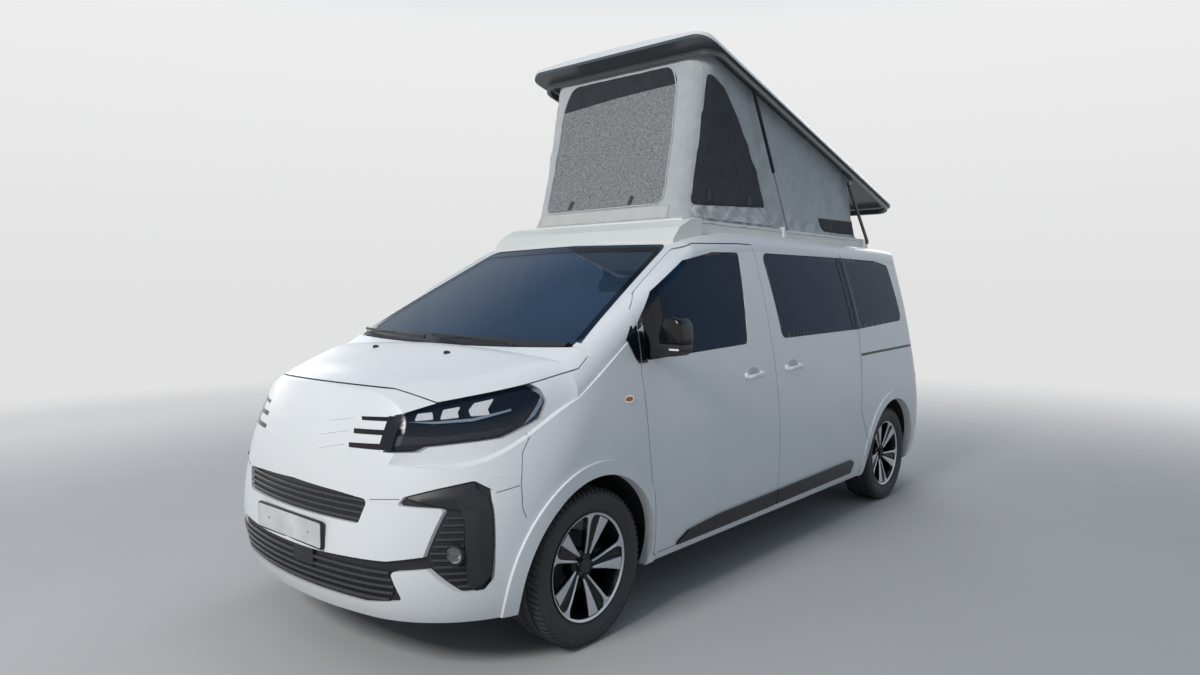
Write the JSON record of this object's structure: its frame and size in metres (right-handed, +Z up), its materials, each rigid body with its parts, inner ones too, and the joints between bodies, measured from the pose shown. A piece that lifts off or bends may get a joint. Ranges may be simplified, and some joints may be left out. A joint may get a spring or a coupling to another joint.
{
  "type": "camper van",
  "caption": "Mid-size camper van with side and rear doors, steered front wheels and a lifting sleeping roof with cloth walls, shown with the roof raised.",
  "frame": {"origin": "on the ground, midway along the van and on its centre plane", "axes": "+X towards the nose, +Y to the van's left, +Z up"},
  "size_m": [4.9606, 2.204, 2.9715],
  "materials": {
    "white_paint": "gloss",
    "tinted_glass": "gloss",
    "clear_glass": "gloss",
    "black_plastic": "satin",
    "gloss_black": "gloss",
    "lamp_clear": "gloss",
    "lamp_red": "gloss",
    "tyre_rubber": "matt",
    "alloy": "machined",
    "steel": "satin",
    "cast": "rough",
    "cloth": "woven",
    "seat_cloth": "woven",
    "board": "laminate"
  },
  "bodies": {
    "body": {"floor_pan": "steel", "bulkhead": "steel", "wheel_housings": "black_plastic", "side_left": "white_paint", "side_right": "white_paint", "roof_panel": "white_paint", "front_wings": "white_paint", "nose_panel": "white_paint", "front_bumper": "white_paint", "front_grilles": "black_plastic", "headlamps": "lamp_clear", "cowl": "black_plastic", "windscreen": "clear_glass", "number_plate": "white_paint", "sliding_door_left": "white_paint", "sliding_door_right": "white_paint", "slide_trims": "gloss_black", "side_glass": "tinted_glass", "tail_lamps": "lamp_red", "rear_bumper": "white_paint", "roof_ring": "white_paint", "roof_tent": "cloth", "dashboard": "black_plastic", "steering_wheel": "black_plastic", "seats": "seat_cloth", "kitchen_unit": "board", "engine_block": "cast", "front_subframe": "steel", "rear_axle": "steel", "tank_and_exhaust": "steel"},
    "bonnet": {"bonnet": "white_paint"},
    "tailgate": {"tailgate": "white_paint", "tailgate_glass": "tinted_glass"},
    "door_left": {"door_front_left": "white_paint", "door_glass_left": "tinted_glass", "mirror_left": "gloss_black", "door_trim_left": "gloss_black"},
    "door_right": {"door_front_right": "white_paint", "door_glass_right": "tinted_glass", "mirror_right": "gloss_black", "door_trim_right": "gloss_black"},
    "pop_roof": {"pop_roof": "white_paint"},
    "roof_arms": {"roof_arms": "steel"},
    "strut_barrels": {"strut_barrels": "gloss_black"},
    "strut_rods": {"strut_rods": "steel"},
    "knuckle_left": {"knuckle_left": "cast"},
    "knuckle_right": {"knuckle_right": "cast"},
    "wheel_fl": {"tyre_fl": "tyre_rubber", "rim_fl": "alloy"},
    "wheel_fr": {"tyre_fr": "tyre_rubber", "rim_fr": "alloy"},
    "wheel_rl": {"tyre_rl": "tyre_rubber", "rim_rl": "alloy"},
    "wheel_rr": {"tyre_rr": "tyre_rubber", "rim_rr": "alloy"}
  },
  "joints": [
    {"name": "steer_left", "type": "hinge", "parent": "body", "child": "knuckle_left", "pos_m": [1.585, 0.73, 0.34], "axis": [0, 0, 1], "range_deg": [-33, 33]},
    {"name": "steer_right", "type": "hinge", "parent": "body", "child": "knuckle_right", "pos_m": [1.585, -0.73, 0.34], "axis": [0, 0, 1], "range_deg": [-33, 33]},
    {"name": "spin_front_left", "type": "hinge", "parent": "knuckle_left", "child": "wheel_fl", "pos_m": [1.585, 0.805, 0.34], "axis": [0, 1, 0], "continuous": true},
    {"name": "spin_front_right", "type": "hinge", "parent": "knuckle_right", "child": "wheel_fr", "pos_m": [1.585, -0.805, 0.34], "axis": [0, 1, 0], "continuous": true},
    {"name": "spin_rear_left", "type": "hinge", "parent": "body", "child": "wheel_rl", "pos_m": [-1.69, 0.805, 0.34], "axis": [0, 1, 0], "continuous": true},
    {"name": "spin_rear_right", "type": "hinge", "parent": "body", "child": "wheel_rr", "pos_m": [-1.69, -0.805, 0.34], "axis": [0, 1, 0], "continuous": true},
    {"name": "door_left_swing", "type": "hinge", "parent": "body", "child": "door_left", "pos_m": [1.276, 0.958, 0.9], "axis": [0, 0, -1], "range_deg": [0, 65]},
    {"name": "door_right_swing", "type": "hinge", "parent": "body", "child": "door_right", "pos_m": [1.276, -0.958, 0.9], "axis": [0, 0, 1], "range_deg": [0, 65]},
    {"name": "bonnet_lift", "type": "hinge", "parent": "body", "child": "bonnet", "pos_m": [1.574, 0, 1.276], "axis": [0, -1, 0], "range_deg": [0, 50]},
    {"name": "tailgate_lift", "type": "hinge", "parent": "body", "child": "tailgate", "pos_m": [-2.23, 0, 1.812], "axis": [0, 1, 0], "range_deg": [0, 85]},
    {"name": "roof_lift", "type": "hinge", "parent": "body", "child": "roof_arms", "pos_m": [-1.903, 0, 1.905], "axis": [0, 1, 0], "range_deg": [0, 47.71], "deforming": ["roof_tent"]},
    {"name": "roof_tilt", "type": "hinge", "parent": "roof_arms", "child": "pop_roof", "pos_m": [-1.54, 0, 2.313], "axis": [0, 1, 0], "range_deg": [-32.6, 0]},
    {"name": "strut_swing", "type": "hinge", "parent": "pop_roof", "child": "strut_barrels", "pos_m": [-0.16663, 0, 2.75038], "axis": [0, 1, 0], "range_deg": [0, 42.4]},
    {"name": "strut_slide", "type": "slide", "parent": "strut_barrels", "child": "strut_rods", "axis": [0.4853, 0, 0.8743], "range_m": [0, 0.2325]}
  ],
  "couplings": [
    {"joint": "steer_right", "follows": "steer_left", "ratio": 1},
    {"joint": "roof_tilt", "follows": "roof_lift", "ratio": -0.68141},
    {"joint": "strut_swing", "follows": "roof_lift", "ratio": 0.88611},
    {"joint": "strut_slide", "follows": "roof_lift", "m_per_rad": 0.2785}
  ]
}
